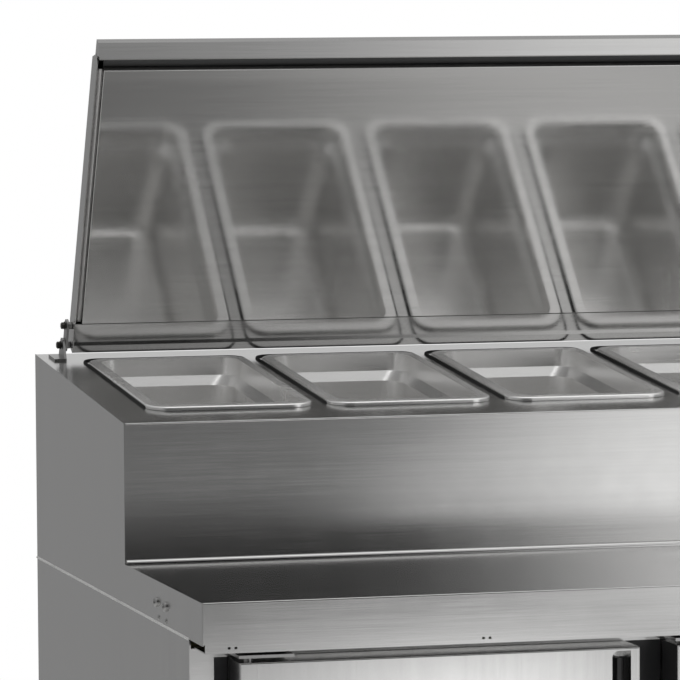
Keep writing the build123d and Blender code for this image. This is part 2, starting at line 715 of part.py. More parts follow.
COIL = ((1372.0, 1692.0), (120.0, 164.0), (190.0, 450.0))
CONDENSER_FAN = (1532.0, 320.0)
with BuildPart() as condenser_coil:
    block(*COIL)
    block((COIL[0][0] - 4, COIL[0][0]), (112, 172), (COIL[2][0] - 38.5, COIL[2][1] + 6))
    block((COIL[0][1], COIL[0][1] + 4), (112, 172), (COIL[2][0] - 38.5, COIL[2][1] + 6))
    # fin slots across the face of the core
    with Locations((at_x(1532), at_y(120), 320)):
        with GridLocations(8, 0, 39, 1):
            Box(4, 12, 250, mode=Mode.SUBTRACT)
save(condenser_coil, "condenser_coil")

EVAPORATOR = ((1240.0, STORE_X - 1.0), (150.0, 600.0), (565.0, 790.0))
EVAPORATOR_FAN = (375.0, 677.0)
with BuildPart() as evaporator_coil:
    block(*EVAPORATOR)
    with Locations(Location((at_x(EVAPORATOR[0][0]), at_y(375), 677.5), (90, 0, 0))):
        with GridLocations(0, 10, 1, 20):
            Box(12, 5, 430, mode=Mode.SUBTRACT)
save(evaporator_coil, "evaporator_coil")


def fan_motor(plane, ring_radius, leg):
    """Motor, shaft and ring bracket; the fan turns between the bracket and the coil."""
    turn = plane.offset(0)
    with BuildSketch(turn) as hub:
        Circle(26)
    extrude(hub.sketch, amount=42)
    with BuildSketch(turn) as shaft:
        Circle(3)
    extrude(shaft.sketch, amount=-30)
    with BuildSketch(turn) as ring:
        Circle(ring_radius)
        Circle(ring_radius - 7, mode=Mode.SUBTRACT)
        with PolarLocations(0, 4):
            with Locations(((ring_radius + 22) / 2, 0)):
                Rectangle(ring_radius - 24, 6)
    extrude(ring.sketch, amount=4)
    with BuildSketch(turn) as legs:
        with PolarLocations(ring_radius - 3.5, 4):
            Circle(2.5)
    extrude(legs.sketch, amount=-leg)


def fan(plane, radius):
    """A five-bladed fan on a bored hub."""
    with BuildPart() as rotor:
        with BuildSketch(plane):
            Circle(18)
            Circle(3 + RUNNING_FIT, mode=Mode.SUBTRACT)
        extrude(amount=18)
        with Locations(plane.offset(9)):
            with PolarLocations((radius + 15) / 2, 5):
                Box(radius - 15, radius * 0.55, 1.6, rotation=(24, 0, 0))
    return rotor


condenser_axis = Plane(
    origin=(at_x(CONDENSER_FAN[0]), at_y(208), CONDENSER_FAN[1]), x_dir=(1, 0, 0), z_dir=(0, 1, 0)
)
evaporator_axis = Plane(
    origin=(at_x(1196), at_y(EVAPORATOR_FAN[0]), EVAPORATOR_FAN[1]), x_dir=(0, 1, 0), z_dir=(-1, 0, 0)
)
with BuildPart() as fan_motors:
    fan_motor(condenser_axis, 122, 43.9)
    fan_motor(evaporator_axis, 100, 43.9)
save(fan_motors, "fan_motors")
save(fan(condenser_axis.offset(-28), 105), "condenser_fan")
save(fan(evaporator_axis.offset(-28), 84), "evaporator_fan")

TRAY = ((1600.0, 1770.0), (470.0, 680.0), (CABINET_Z + SHEET + 0.05, 192.0))
with BuildPart() as evaporation_tray:
    block(*TRAY)
    inside = [(a + 2, b - 2) for a, b in TRAY[:2]]
    block(*inside, (TRAY[2][0] + 2, TRAY[2][1] + 1), mode=Mode.SUBTRACT)
save(evaporation_tray, "evaporation_tray")

# ---- Machine bay front: louvred panel, controls and the cable gland ----
PANEL = (1342.0, 1790.0)
PANEL_Y = 8.0
CONTROL = ((1378.0, 1456.0), (770.0, 806.0))
BUTTON_X = (1427.0, 1436.0, 1445.0)
BUTTON_Z = 788.0
BUTTON_R = 3.5
SWITCH = ((1480.0, 1508.0), (766.0, 810.0))
ROCKER_PIN_R = 1.2
with BuildPart() as bay_grille:
    block(PANEL, (PANEL_Y, CABINET_Y - 0.05), (DOOR_LOW_Z, DOOR_TOP_Z))
    fillet(bay_grille.faces().sort_by(Axis.Y)[0].edges(), radius=1.5)
    inside = (PANEL[0] + SHEET, PANEL[1] - SHEET)
    block(inside, (PANEL_Y + SHEET, 60), (DOOR_LOW_Z + SHEET, DOOR_TOP_Z - SHEET), mode=Mode.SUBTRACT)
    with Locations(Location((at_x(sum(PANEL) / 2), at_y(PANEL_Y), 430), (90, 0, 0))):
        with GridLocations(190, 22, 2, 20):
            Box(170, 9, 8, mode=Mode.SUBTRACT)
    block((1382, 1452), (0, 20), (773.5, 802.5), mode=Mode.SUBTRACT)
    block((1483, 1505), (0, 20), (769, 807), mode=Mode.SUBTRACT)
save(bay_grille, "bay_grille")

with BuildPart() as control_panel:
    block(CONTROL[0], (PANEL_Y - 3, PANEL_Y - 0.05), CONTROL[1])
    fillet(control_panel.edges().filter_by(Axis.Y), radius=3)
    block((1382.3, 1451.7), (PANEL_Y - 1, PANEL_Y + 38), (773.8, 802.2))
    block((1384, 1422), (0, PANEL_Y - 2.2), (777, 799), mode=Mode.SUBTRACT)
    for x in BUTTON_X:
        with Locations(Location((at_x(x), at_y(PANEL_Y), BUTTON_Z), (90, 0, 0))):
            Cylinder(BUTTON_R + 0.25, 12, mode=Mode.SUBTRACT)
    # frame of the mains switch
    block(SWITCH[0], (PANEL_Y - 2.5, PANEL_Y - 0.05), SWITCH[1])
    block((1483.3, 1504.7), (PANEL_Y - 1, PANEL_Y + 24), (769.3, 806.7))
    block((1485, 1503), (0, PANEL_Y + 18), (771, 805), mode=Mode.SUBTRACT)
    # the rocker's pin
    with Locations(Location((at_x(1494), at_y(PANEL_Y + 4), BUTTON_Z), (0, 90, 0))):
        Cylinder(ROCKER_PIN_R, 18.2)
save(control_panel, "control_panel")

for name, x in zip(("button_down", "button_set", "button_up"), BUTTON_X):
    with BuildPart() as button:
        with Locations(Location((at_x(x), at_y(PANEL_Y - 1.4), BUTTON_Z), (90, 0, 0))):
            Cylinder(BUTTON_R, 6)
        fillet(button.faces().sort_by(Axis.Y)[0].edges(), radius=0.8)
    save(button, name)

ROCKER_TILT = 7.0
with BuildPart() as power_switch:
    rocker = Plane(
        origin=(at_x(1485.3), at_y(PANEL_Y + 4), BUTTON_Z), x_dir=(0, 1, 0), z_dir=(1, 0, 0)
    ).rotated((ROCKER_TILT, 0, 0))
    with BuildSketch(rocker):
        with BuildLine():
            Polyline((-8, -15), (-5.5, 0), (-8, 15), (2, 13), (6, 0), (2, -13), close=True)
        make_face()
    extrude(amount=17.4)
    with Locations(Location((at_x(1494), at_y(PANEL_Y + 4), BUTTON_Z), (0, 90, 0))):
        Cylinder(ROCKER_PIN_R + RUNNING_FIT, 20, mode=Mode.SUBTRACT)
save(power_switch, "power_switch")

with BuildPart() as cable_gland:
    with Locations((at_x(GLAND[0]), at_y(GLAND[1]), 0)):
        low = (Align.CENTER, Align.CENTER, Align.MIN)
        with Locations((0, 0, 128)):
            Cylinder(9, 12, align=low)
        with Locations((0, 0, 140)):
            Cylinder(14, 9.9, align=low)
        with Locations((0, 0, 145)):
            Cylinder(9.8, 14, align=low)
        with Locations((0, 0, CABINET_Z + SHEET + 0.1)):
            Cylinder(14, 6, align=low)
        with Locations((0, 0, 120)):
            Cylinder(4.5, 60, align=low, mode=Mode.SUBTRACT)
save(cable_gland, "cable_gland")
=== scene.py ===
"""Looks for the refrigerated prep table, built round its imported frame.

Everything is in metres in the frame's axes: +X right along the front, +Y back, +Z up.
Names that end in _MM or _mm are in millimetres.
"""

import json
import math

import bmesh
import bpy
from mathutils import Matrix, Vector


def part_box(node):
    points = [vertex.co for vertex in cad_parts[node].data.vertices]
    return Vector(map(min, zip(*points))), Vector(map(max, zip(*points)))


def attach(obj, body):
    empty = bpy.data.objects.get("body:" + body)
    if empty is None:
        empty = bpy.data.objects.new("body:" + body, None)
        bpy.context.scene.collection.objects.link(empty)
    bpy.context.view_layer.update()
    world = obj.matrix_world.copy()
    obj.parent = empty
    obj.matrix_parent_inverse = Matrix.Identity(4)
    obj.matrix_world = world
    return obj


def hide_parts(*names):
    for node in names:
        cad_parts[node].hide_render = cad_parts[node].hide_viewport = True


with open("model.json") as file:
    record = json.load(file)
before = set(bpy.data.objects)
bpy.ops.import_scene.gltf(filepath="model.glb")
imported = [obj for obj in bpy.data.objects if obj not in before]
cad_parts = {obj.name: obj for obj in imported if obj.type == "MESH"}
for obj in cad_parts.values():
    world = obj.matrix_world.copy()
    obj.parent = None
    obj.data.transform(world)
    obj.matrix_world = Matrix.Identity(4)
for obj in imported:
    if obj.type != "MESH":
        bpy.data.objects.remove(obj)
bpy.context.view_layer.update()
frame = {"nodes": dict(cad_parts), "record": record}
NODES = frame["nodes"]
SLOT_OF = {row["node"]: row["material_slot"] for row in frame["record"]["subparts"]}
scene = bpy.context.scene

LENGTH = 1.795
LEFT, RIGHT = -LENGTH / 2, LENGTH / 2
FRONT = -0.4
WORKTOP_Z = 0.897
SEAM_Z = 0.856
DOORS = (1, 2, 3)
DOOR_PITCH_MM = 435.0


# ---- Node helpers ----
class Nodes:
    """A small wrapper that adds and links shader nodes in one call."""

    def __init__(self, tree):
        self.tree = tree
        tree.nodes.clear()

    def add(self, kind, inputs=None, **settings):
        node = self.tree.nodes.new(kind)
        for key, value in settings.items():
            setattr(node, key, value)
        for key, value in (inputs or {}).items():
            if isinstance(value, bpy.types.NodeSocket):
                self.tree.links.new(value, node.inputs[key])
            else:
                node.inputs[key].default_value = value
        return node

    def math(self, operation, a, b):
        return self.add("ShaderNodeMath", {0: a, 1: b}, operation=operation).outputs[0]

    def coords(self, scale, offset):
        place = self.add("ShaderNodeTexCoord")
        mapping = self.add(
            "ShaderNodeMapping",
            {"Vector": place.outputs["Object"], "Scale": scale, "Location": offset},
        )
        return mapping.outputs[0]

    def noise(self, scale, detail, rough=0.55, offset=(0, 0, 0)):
        node = self.add(
            "ShaderNodeTexNoise",
            {"Vector": self.coords(scale, offset), "Scale": 1.0, "Detail": detail, "Roughness": rough},
        )
        return node.outputs["Fac"]

    def spread(self, value, low, high, start=0.3, end=0.7):
        """Maps start..end of value to low..high; a noise's values lie mostly in 0.3..0.7."""
        node = self.add(
            "ShaderNodeMapRange",
            {"Value": value, "From Min": start, "From Max": end, "To Min": low, "To Max": high},
        )
        return node.outputs[0]

    def smooth_step(self, value, start, end, rise):
        """0 up to start, rise from end on, and a smooth curve between them."""
        node = self.add(
            "ShaderNodeMapRange",
            {"Value": value, "From Min": start, "From Max": end, "To Min": 0.0, "To Max": rise},
            interpolation_type="SMOOTHSTEP",
        )
        return node.outputs[0]

    def tinted(self, rgb, tone):
        """A colour scaled by a tone that varies over the surface."""
        return self.add("ShaderNodeVectorMath", {0: rgb, "Scale": tone}, operation="SCALE").outputs[0]


def material(name):
    made = bpy.data.materials.new(name)
    made.use_nodes = True
    return made, Nodes(made.node_tree)


def finish_material(n, shader):
    n.add("ShaderNodeOutputMaterial", {"Surface": shader.outputs[0]})


# Noise scale of brushed steel: coarse along the grain, fine across it
GRAIN_SCALE = {"x": (9, 900, 900), "z": (900, 900, 9)}
BROADER = 7
BUMP_DISTANCE = 0.001
WARM_STEEL = (1, 0.995, 0.985)


def steel(name, grey, rough, grain, streak=0.04, bump=0.02, smudge=0.05, tint=WARM_STEEL, metal=1.0):
    """Sheet metal: fine grain along one axis, faint streaks, wear and hand marks."""
    made, n = material(name)
    scale = GRAIN_SCALE[grain]
    fine = n.noise(scale, detail=2.0)
    broad = n.noise(tuple(v / BROADER for v in scale), detail=3.0, offset=(3, 5, 7))
    marks = n.noise((4, 4, 4), detail=4.0, rough=0.6, offset=(1, 2, 3))
    wear = n.noise((38, 38, 38), detail=5.0, rough=0.7, offset=(8, 1, 4))
    tone = n.math("MULTIPLY", n.spread(fine, 1 - streak, 1 + streak), n.spread(broad, 0.975, 1.025))
    tone = n.math("MULTIPLY", tone, n.spread(marks, 1 - smudge / 2, 1.0))
    roughness = n.spread(marks, rough - smudge / 2, rough + smudge / 2)
    roughness = n.math("ADD", roughness, n.spread(wear, -0.012, 0.012))
    roughness = n.math("ADD", roughness, n.spread(fine, -0.02, 0.02))
    height = n.add("ShaderNodeBump", {"Strength": bump, "Distance": BUMP_DISTANCE, "Height": fine})
    shader = n.add(
        "ShaderNodeBsdfPrincipled",
        {
            "Base Color": n.tinted([grey * t for t in tint], tone),
            "Metallic": metal,
            "Roughness": roughness,
            "Normal": height.outputs[0],
        },
    )
    finish_material(n, shader)
    return made


def coated(name, rgb, rough, grain_scale, bump, speckle, metallic=0.0, coat=0.0, specular=0.5):
    """Plastic, rubber or paint: a moulded or sprayed surface with slight colour variation."""
    made, n = material(name)
    fine = n.noise((grain_scale,) * 3, detail=2.0)
    cloud = n.noise((14, 14, 14), detail=4.0, offset=(2, 9, 5))
    tone = n.math("MULTIPLY", n.spread(fine, 1 - speckle, 1 + speckle), n.spread(cloud, 0.9, 1.1))
    height = n.add("ShaderNodeBump", {"Strength": bump, "Distance": BUMP_DISTANCE, "Height": fine})
    shader = n.add(
        "ShaderNodeBsdfPrincipled",
        {
            "Base Color": n.tinted(rgb, tone),
            "Metallic": metallic,
            "Roughness": n.spread(cloud, rough - 0.05, rough + 0.05),
            "Normal": height.outputs[0],
            "Coat Weight": coat,
            "Specular IOR Level": specular,
        },
    )
    finish_material(n, shader)
    return made


# ---- Materials by slot ----
SATIN = {"rough": 0.18, "streak": 0.035, "bump": 0.007}
SATIN_X = steel("satin_lengthwise", 0.61, grain="x", **SATIN)
SATIN_Z = steel("satin_upright", 0.60, grain="z", **SATIN)
MIRROR = {"streak": 0.03, "bump": 0.006, "smudge": 0.04}
POLISHED = {"streak": 0.01, "bump": 0.002, "smudge": 0.06, "metal": 0.80}
GALVANISED = {"streak": 0.04, "smudge": 0.2, "tint": (0.98, 1, 1.03)}
BY_SLOT = {
    "brushed_stainless": SATIN_X,
    "mirror_stainless": steel("bright_annealed", 0.62, 0.085, "x", **MIRROR),
    "polished_stainless": steel("polished_pan", 0.90, 0.24, "x", **POLISHED),
    "inner_stainless": steel("inner_satin", 0.60, 0.30, "z"),
    "galvanised_sheet": steel("galvanised", 0.50, 0.42, "z", **GALVANISED),
    "foam": coated("rigid_foam", (0.80, 0.70, 0.45), 0.85, 260, 0.6, 0.12),
    "hardware_steel": steel("zinc_hardware", 0.42, 0.30, "z", smudge=0.12),
    "dark_bolt": coated("blackened_bolt", (0.045, 0.043, 0.04), 0.38, 400, 0.2, 0.2, metallic=0.7),
    "coated_wire": coated("coated_wire", (0.72, 0.72, 0.71), 0.30, 500, 0.05, 0.03, coat=0.4),
    "foot_steel": steel("foot_satin", 0.60, 0.25, "z"),
    "compressor_black": coated("gloss_black_paint", (0.012, 0.012, 0.013), 0.22, 180, 0.12, 0.1, coat=0.5),
    "coil_aluminium": steel("fin_aluminium", 0.70, 0.35, "z", tint=(0.99, 1, 1.01)),
    "motor_black": coated("motor_paint", (0.02, 0.02, 0.021), 0.42, 250, 0.2, 0.15),
    "gasket_rubber": coated("gasket_rubber", (0.055, 0.055, 0.056), 0.50, 700, 0.15, 0.1),
    "grip_plastic": coated("grip_plastic", (0.018, 0.018, 0.019), 0.36, 800, 0.12, 0.08),
    "fan_plastic": coated("fan_plastic", (0.03, 0.03, 0.032), 0.40, 500, 0.08, 0.08),
    "control_plastic": coated("control_plastic", (0.018, 0.018, 0.02), 0.34, 900, 0.1, 0.08),
    "gland_plastic": coated("gland_plastic", (0.03, 0.03, 0.032), 0.45, 600, 0.1, 0.1),
    "button_plastic": coated("button_plastic", (0.42, 0.43, 0.45), 0.28, 500, 0.04, 0.04, coat=0.3),
    "rocker_plastic": coated("rocker_plastic", (0.02, 0.26, 0.06), 0.20, 300, 0.03, 0.05, coat=0.6),
}
UPRIGHT = {"side_panels", "top_side_panels", "front_posts", "collar_back"}
UPRIGHT |= {f"door_{door}_skin" for door in DOORS}
for node_name, obj in NODES.items():
    chosen = SATIN_Z if node_name in UPRIGHT else BY_SLOT[SLOT_OF[node_name]]
    obj.data.materials.clear()
    obj.data.materials.append(chosen)


# ---- Stage: floor, card and lights ----
def add_object(name, data):
    obj = bpy.data.objects.new(name, data)
    scene.collection.objects.link(obj)
    return obj


def stage_object(name, build, **sizes):
    """A backdrop object whose mesh one bmesh operator builds."""
    mesh = bpy.data.meshes.new(name)
    made = bmesh.new()
    build(made, **sizes)
    made.to_mesh(mesh)
    made.free()
    return add_object(name, mesh)


def lay_floor():
    """A wide pale disc just under the feet."""
    floor = stage_object("floor", bmesh.ops.create_circle, cap_ends=True, radius=4.8, segments=96)
    paint, n = material("pale_floor")
    speck = n.noise((40, 40, 40), detail=4.0)
    shader = n.add(
        "ShaderNodeBsdfPrincipled",
        {"Roughness": n.spread(speck, 0.55, 0.65), "Base Color": (0.82, 0.82, 0.81, 1)},
    )
    finish_material(n, shader)
    floor.data.materials.append(paint)
    floor.location = (0, 0, -0.0005)


# The card stands 1.2 m in front of the worktop, on the floor, with its middle at X 0
CARD_Y, CARD_SIZE = -1.6, 3.2
# Its glow, row by row from the lowest: (height, ((x, glow), ...))
CARD_GLOW = (
    (0.60, ((-1.6, 0.7), (-0.6, 0.75), (-0.3, 1.8), (-0.14, 1.7), (-0.08, 0.75), (1.6, 0.8))),
    (0.67, ((-1.6, 0.7), (-0.6, 0.72), (-0.3, 1.6), (-0.14, 1.5), (-0.08, 0.72), (1.6, 0.8))),
    (0.695, ((-1.6, 0.2), (-0.6, 0.22), (-0.05, 0.25), (0.12, 0.9), (0.6, 1.0), (1.6, 0.3))),
    (0.725, ((-1.6, 0.2), (-0.6, 0.42), (-0.1, 0.33), (-0.03, 0.40), (0.12, 1.35), (0.6, 1.4), (1.6, 0.3))),
    (0.752, ((-1.6, 0.1), (-0.6, 0.12), (-0.35, 0.10), (-0.05, 1.05), (0.12, 1.45), (0.6, 1.5), (1.6, 0.3))),
    (0.92, ((-1.6, 0.2), (-0.6, 0.20), (-0.20, 0.22), (0.14, 1.0), (0.6, 1.05), (1.6, 0.3))),
    (1.08, ((-1.6, 0.0), (-0.6, 0.00), (-0.30, 0.00), (-0.1, 0.08), (0.3, 1.25), (0.7, 1.3), (1.6, 0.3))),
    (1.70, ((-1.6, 0.0), (-0.6, 0.00), (-0.05, 0.02), (0.45, 0.70), (0.8, 0.8), (1.6, 0.3))),
    (2.30, ((-1.6, 0.3), (-0.5, 0.30), (-0.28, 0.34), (0.50, 1.00), (1.6, 0.8))),
)


def glow_along(n, across, points):
    """The glow along one row, smooth from each (x, glow) point to the next."""
    total = points[0][1]
    for (x0, glow0), (x1, glow1) in zip(points, points[1:]):
        start, end = ((x + CARD_SIZE / 2) / CARD_SIZE for x in (x0, x1))
        total = n.math("ADD", n.smooth_step(across, start, end, glow1 - glow0), total)
    return total


def card_glow_material():
    """Glows on the side that faces the table, and is clear from the other side."""
    glow, n = material("front_card_glow")
    place = n.add("ShaderNodeTexCoord")
    parts = n.add("ShaderNodeSeparateXYZ", {0: place.outputs["Generated"]})
    across = parts.outputs[0]
    up = n.math("SUBTRACT", 1.0, parts.outputs[1])
    previous, points = CARD_GLOW[0]
    total = glow_along(n, across, points)
    for height, points in CARD_GLOW[1:]:
        share = n.smooth_step(up, previous / CARD_SIZE, height / CARD_SIZE, 1.0)
        change = n.math("SUBTRACT", glow_along(n, across, points), total)
        total = n.math("ADD", total, n.math("MULTIPLY", change, share))
        previous = height
    emit = n.add("ShaderNodeEmission", {"Strength": total})
    geometry = n.add("ShaderNodeNewGeometry")
    clear = n.add("ShaderNodeBsdfTransparent")
    mixed = n.add(
        "ShaderNodeMixShader",
        {0: geometry.outputs["Backfacing"], 1: emit.outputs[0], 2: clear.outputs[0]},
    )
    finish_material(n, mixed)
    return glow


def stand_card():
    """A glowing upright card in front of the table, seen only in reflections."""
    card = stage_object("front_card", bmesh.ops.create_grid, x_segments=1, y_segments=1, size=0.5)
    card.rotation_euler = (-math.pi / 2, 0, 0)
    card.location = (0, CARD_Y, CARD_SIZE / 2)
    card.scale = (CARD_SIZE, CARD_SIZE, 1)
    card.visible_camera = False
    card.visible_shadow = False
    card.visible_diffuse = False
    card.data.materials.append(card_glow_material())


def area_light(name, size, energy, place, glossy):
    """A soft rectangular light overhead that the camera doesn't see."""
    light = bpy.data.lights.new(name, "AREA")
    light.shape = "RECTANGLE"
    light.size, light.size_y = size
    light.energy = energy
    lamp = add_object(name, light)
    lamp.location = place
    lamp.visible_camera = False
    lamp.visible_glossy = glossy


def light_world():
    """Grey by height, brighter to the right behind the table; plain white to the camera."""
    world = bpy.data.worlds.new("studio")
    scene.world = world
    world.use_nodes = True
    n = Nodes(world.node_tree)
    direction = n.add("ShaderNodeTexCoord").outputs["Generated"]
    axis = n.add("ShaderNodeSeparateXYZ", {0: direction})
    by_height = n.spread(axis.outputs[2], 0.355, 0.66, 0.1, 0.95)
    to_right = n.spread(axis.outputs[0], 0, 0.42, 0.0, 0.12)
    to_back = n.spread(axis.outputs[1], 0, 1, 0.7, 0.9)
    grey = n.math("ADD", by_height, n.math("MULTIPLY", to_right, to_back))
    plain = n.add("ShaderNodeBackground", {"Strength": grey})
    white = n.add("ShaderNodeBackground", {"Strength": 1.0, "Color": (1, 1, 1, 1)})
    path = n.add("ShaderNodeLightPath")
    mixed = n.add(
        "ShaderNodeMixShader",
        {0: path.outputs["Is Camera Ray"], 1: plain.outputs[0], 2: white.outputs[0]},
    )
    n.add("ShaderNodeOutputWorld", {"Surface": mixed.outputs[0]})


lay_floor()
stand_card()
area_light("top_light", (3.2, 2.4), 17, (0.3, -0.1, 4.0), glossy=True)
area_light("fill_light", (4.5, 4.5), 70, (0, -0.3, 4.2), glossy=False)
light_world()
scene.view_settings.view_transform = "Standard"
scene.view_settings.look = "None"

# ---- Camera: fitted to the photograph's straight edges ----
YAW, PITCH, ROLL = (math.radians(v) for v in (14.6744, -3.8038, -0.3825))
camera_data = bpy.data.cameras.new("camera")
camera_data.sensor_width = 36.0
camera_data.lens = 259.04
camera_data.clip_start, camera_data.clip_end = 0.1, 100.0
camera = add_object("camera", camera_data)
camera.matrix_world = (
    Matrix.Translation((-1.9296, -4.8608, 1.4487))
    @ Matrix.Rotation(-YAW, 4, "Z")
    @ Matrix.Rotation(math.pi / 2 + PITCH, 4, "X")
    @ Matrix.Rotation(ROLL, 4, "Z")
)
scene.camera = camera

# ---- Piece helpers ----
LID_OPEN = math.radians(65.0)
PIVOT_Y, PIVOT_Z = 0.363, 1.0915
SIDES = (-1, 1)


def from_left(x_mm):
    """X of a point from its distance to the left end."""
    return LEFT + x_mm / 1000


def lid_point(x, up, through):
    """A point of the open lid from its place along the lid and through it, in metres."""
    y = PIVOT_Y - up * math.cos(LID_OPEN) - through * math.sin(LID_OPEN)
    z = PIVOT_Z + up * math.sin(LID_OPEN) - through * math.cos(LID_OPEN)
    return Vector((x, y, z))


def facing(axis):
    """The rotation that turns +Z to an axis."""
    return Vector(axis).to_track_quat("Z", "Y").to_matrix()


class Shape:
    """Collects turned, swept and folded parts into one mesh."""

    def __init__(self):
        self.mesh = bmesh.new()

    def skin(self, rings, closed_rows=False):
        """Quads between equal closed rings of points; open ends are capped."""
        rows = [[self.mesh.verts.new(p) for p in ring] for ring in rings]
        pairs = list(zip(rows, rows[1:])) + ([(rows[-1], rows[0])] if closed_rows else [])
        for low, high in pairs:
            count = len(low)
            for i in range(count):
                j = (i + 1) % count
                self.mesh.faces.new((low[i], low[j], high[j], high[i]))
        if not closed_rows:
            self.mesh.faces.new(list(reversed(rows[0])))
            self.mesh.faces.new(rows[-1])

    def turn(self, centre, axis, profile, segments, start=0.0, shape=None, bored=False):
        """Turns (radius, height) pairs about an axis.

        shape may change each point's height, and a bored part joins its last ring to its first.
        """
        rings = []
        for radius, height in profile:
            ring = []
            for i in range(segments):
                a = start + 2 * math.pi * i / segments
                x, y = radius * math.cos(a), radius * math.sin(a)
                z = height if shape is None else shape(x, y, height)
                ring.append(Vector(centre) + facing(axis) @ Vector((x, y, z)))
            rings.append(ring)
        self.skin(rings, closed_rows=bored)

    def frame_sweep(self, corners, outward, profile):
        """Sweeps a closed (in, out) profile round a mitred four-sided frame.

        corners are the frame's corner points in order; each profile point is its distance
        inwards from the corners and its distance along outward.
        """
        middle = sum(corners, Vector()) / 4
        along = [(corners[(i + 1) % 4] - corners[i]).normalized() for i in range(4)]
        rings = []
        for i, corner in enumerate(corners):
            inward = along[i] - along[i - 1]
            if inward.dot(middle - corner) < 0:
                inward = -inward
            rings.append([corner + inward * a + outward * b for a, b in profile])
        self.skin(rings, closed_rows=True)

    def piece(self, name, body, slot_name, *nodes, paint=None, smooth=35):
        """Makes the mesh a piece on a body; edges sharper than smooth degrees stay sharp."""
        bmesh.ops.recalc_face_normals(self.mesh, faces=self.mesh.faces)
        for face in self.mesh.faces:
            face.smooth = True
        for edge in self.mesh.edges:
            if len(edge.link_faces) == 2 and edge.calc_face_angle(0) > math.radians(smooth):
                edge.smooth = False
        data = bpy.data.meshes.new(name)
        self.mesh.to_mesh(data)
        self.mesh.free()
        data.materials.append(paint or BY_SLOT[slot_name])
        obj = add_object(name, data)
        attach(obj, body)
        if nodes:
            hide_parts(*nodes)


RIM_STEPS = 3
CORE_SHARE = 0.02


def rounded(radius, low, high, edge):
    """A turned profile from low to high with a rounded rim at its top."""
    points = [(radius * CORE_SHARE, low), (radius, low)]
    for i in range(RIM_STEPS + 1):
        a = math.pi / 2 * i / RIM_STEPS
        points.append((radius - edge + edge * math.cos(a), high - edge + edge * math.sin(a)))
    return points + [(radius * CORE_SHARE, high)]


# ---- Pieces: finer shapes that stand for simple CAD nodes, and small ones of their own ----
# Lid hinge bolts: a hexagon head, a washer under it and a shank, in metres from the head's face
BOLT_CORE = 0.0002
HEAD_END, WASHER_END = 0.0038, 0.0046
HEXAGON = [(BOLT_CORE, 0), (0.0031, 0), (0.0037, 0.0006), (0.0039, 0.0011), (0.0039, HEAD_END)]
HEXAGON += [(BOLT_CORE, HEAD_END)]
WASHER_RADIUS, SHANK_RADIUS, SPACER_RADIUS = 0.0045, 0.0029, 0.0040
# Distances from the table's end: where the shank stops, and where the spacer does
SHANK_STOP, SPACER_STOP = 0.0276, 0.0313
# Each bolt's place up the lid, and its head's distance from the table's end
BOLT_PLACES = ((0.0, 0.0165), (0.024, 0.0195))


def lid_hardware():
    bolts, spacers = Shape(), Shape()
    for side in SIDES:
        inward = (-side, 0, 0)
        for up, head in BOLT_PLACES:
            at = lid_point(side * (RIGHT - head), up, 0)
            end = SHANK_STOP - head
            shank = [(BOLT_CORE, WASHER_END), (SHANK_RADIUS, WASHER_END)]
            shank += [(SHANK_RADIUS, end), (BOLT_CORE, end)]
            bolts.turn(at, inward, HEXAGON, 6, start=0.3 + up * 20)
            bolts.turn(at, inward, rounded(WASHER_RADIUS, HEAD_END, WASHER_END, 0.0003), 28)
            bolts.turn(at, inward, shank, 20)
            spacers.turn(at, inward, rounded(SPACER_RADIUS, end, SPACER_STOP - head, 0.0006), 24)
    bolts.piece("lid_bolt_set", "lid", "dark_bolt", "lid_hinge_bolts")
    spacers.piece("lid_spacers", "lid", "hardware_steel")


def cross_recess(radius):
    """Lowers the points of a screw head that lie inside its driving cross."""
    half, reach, depth = radius * 0.17, radius * 0.62, radius * 0.30

    def shaped(x, y, height):
        inside = (abs(x) < half and abs(y) < reach) or (abs(y) < half and abs(x) < reach)
        return height - depth if inside and height > depth * 1.05 else height

    return shaped


# Screws in the worktop's flanks: from the front, below the worktop, radius, dome and skirt
LARGE_HEAD, SMALL_HEAD = (0.0050, 0.0028, 0.0012), (0.0025, 0.0008, 0.0003)
SCREWS = ((0.154, 0.021, LARGE_HEAD), (0.194, 0.021, LARGE_HEAD))
SCREWS += ((0.154, 0.035, SMALL_HEAD), (0.187, 0.035, SMALL_HEAD))
DOME_STEPS = 15


def flank_screws():
    """Low domed heads with a driving cross."""
    screws = Shape()
    for side in SIDES:
        for y, drop, (radius, rise, skirt) in SCREWS:
            dome = [(radius * CORE_SHARE, 0.0), (radius, 0.0), (radius, skirt)]
            for i in range(DOME_STEPS):
                share = 1 - i / DOME_STEPS
                dome.append((radius * share, skirt + rise * math.sqrt(1 - share**2)))
            dome.append((radius * CORE_SHARE, skirt + rise))
            at = (side * RIGHT, FRONT + y, WORKTOP_Z - drop)
            screws.turn(at, (side, 0, 0), dome, 48, shape=cross_recess(radius))
    screws.piece("flank_screws", "cabinet", "hardware_steel", "side_screws")


# A door seal's section, as (metres inwards, share of its thickness): foot, pleat, magnet pocket
SEAL_SECTION = [(0.0, 0.0), (0.0, 0.30), (0.0012, 0.55), (0.0022, 0.42), (0.0030, 0.60)]
SEAL_SECTION += [(0.0040, 0.88), (0.0054, 1.0), (0.0078, 1.0), (0.0092, 0.88), (0.0100, 0.60)]
SEAL_SECTION += [(0.0108, 0.30), (0.0120, 0.22), (0.0120, 0.0)]


